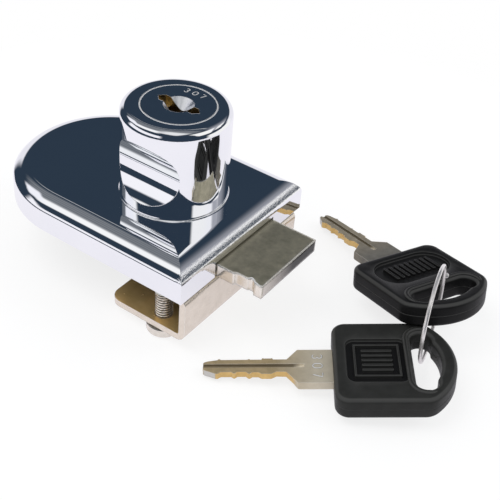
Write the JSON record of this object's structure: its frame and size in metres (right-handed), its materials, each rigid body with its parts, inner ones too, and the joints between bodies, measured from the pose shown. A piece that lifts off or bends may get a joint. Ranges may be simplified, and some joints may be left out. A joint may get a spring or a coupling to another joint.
{
  "type": "glass cabinet door lock",
  "caption": "D-shaped chrome lock clamped on the edge of a glass cabinet door, with a turning cylinder that slides a bolt, and keys on a wire ring.",
  "frame": {"origin": "on the glass-side face of the rear rubber pad, on the axis of the lock cylinder", "axes": "+Z out of the glass along the cylinder's axis; +X the way the bolt comes out, square to the straight face; +Y along the straight face"},
  "size_m": [0.1166, 0.0662, 0.0456],
  "materials": {
    "chrome": "polished chrome on a zinc casting",
    "nickel": "satin nickel plate",
    "steel": "bright zinc plate",
    "brass": "bare brass, its face chromed",
    "rubber": "grey rubber sheet",
    "nylon": "natural nylon",
    "black": "fine-grained black plastic"
  },
  "bodies": {
    "lock_body": {"housing": "chrome", "clamp_bracket": "nickel", "bracket_screws": "steel", "rear_glass_pad": "rubber", "front_glass_pad": "rubber"},
    "plug_body": {"plug": "brass", "wafer_springs": "steel", "drive_cam": "steel", "cam_screw": "steel"},
    "odd_wafers": {"wafer_1": "brass", "wafer_3": "brass", "wafer_5": "brass"},
    "even_wafers": {"wafer_2": "brass", "wafer_4": "brass"},
    "bolt_body": {"bolt": "nickel"},
    "tip_front": {"screw_tip_front": "nylon"},
    "tip_rear": {"screw_tip_rear": "nylon"},
    "screw_front": {"clamp_screw_front": "nickel"},
    "screw_rear": {"clamp_screw_rear": "nickel"},
    "key_1": {"key_1_blade": "nickel", "key_1_head": "black"},
    "key_2": {"key_2_blade": "nickel", "key_2_head": "black"},
    "ring": {"key_ring": "steel"}
  },
  "joints": [
    {"name": "plug_turn", "type": "hinge", "parent": "lock_body", "child": "plug_body", "pos_m": [0, 0, 0.02], "axis": [0, 0, 1], "range_deg": [0, 90]},
    {"name": "bolt_slide", "type": "slide", "parent": "lock_body", "child": "bolt_body", "axis": [1, 0, 0], "range_m": [-0.0099, 0]},
    {"name": "odd_wafers_slide", "type": "slide", "parent": "plug_body", "child": "odd_wafers", "axis": [1, 0, 0], "range_m": [0, 0.0007]},
    {"name": "even_wafers_slide", "type": "slide", "parent": "plug_body", "child": "even_wafers", "axis": [-1, 0, 0], "range_m": [0, 0.0007]},
    {"name": "tip_front_slide", "type": "slide", "parent": "lock_body", "child": "tip_front", "axis": [0, 0, 1], "range_m": [-0.0042, 0.0002]},
    {"name": "screw_front_turn", "type": "hinge", "parent": "tip_front", "child": "screw_front", "pos_m": [0.0114, -0.01775, -0.009], "axis": [0, 0, 1], "range_deg": [-2160, 102.9]},
    {"name": "tip_rear_slide", "type": "slide", "parent": "lock_body", "child": "tip_rear", "axis": [0, 0, 1], "range_m": [-0.0042, 0.0002]},
    {"name": "screw_rear_turn", "type": "hinge", "parent": "tip_rear", "child": "screw_rear", "pos_m": [0.0114, 0.01775, -0.009], "axis": [0, 0, 1], "range_deg": [-2160, 102.9]},
    {"name": "key_1_lift", "type": "slide", "parent": "lock_body", "child": "key_1", "axis": [0, 0, 1], "range_m": [0, 0.03]},
    {"name": "key_2_swing", "type": "hinge", "parent": "key_1", "child": "key_2", "pos_m": [0.06188, 0.01171, 0.0002], "axis": [0.9668, 0.2491, 0.0565], "range_deg": [0, 40]},
    {"name": "ring_turn", "type": "hinge", "parent": "key_2", "child": "ring", "pos_m": [0.06188, 0.01171, 0.0002], "axis": [0.9668, 0.2491, 0.0565], "range_deg": [-180, 180]}
  ],
  "couplings": [
    {"joint": "bolt_slide", "follows": "plug_turn", "m_per_rad": -0.0063022},
    {"joint": "even_wafers_slide", "follows": "odd_wafers_slide", "ratio": 1},
    {"joint": "screw_front_turn", "follows": "tip_front_slide", "rad_per_m": 8976},
    {"joint": "screw_rear_turn", "follows": "tip_rear_slide", "rad_per_m": 8976}
  ]
}
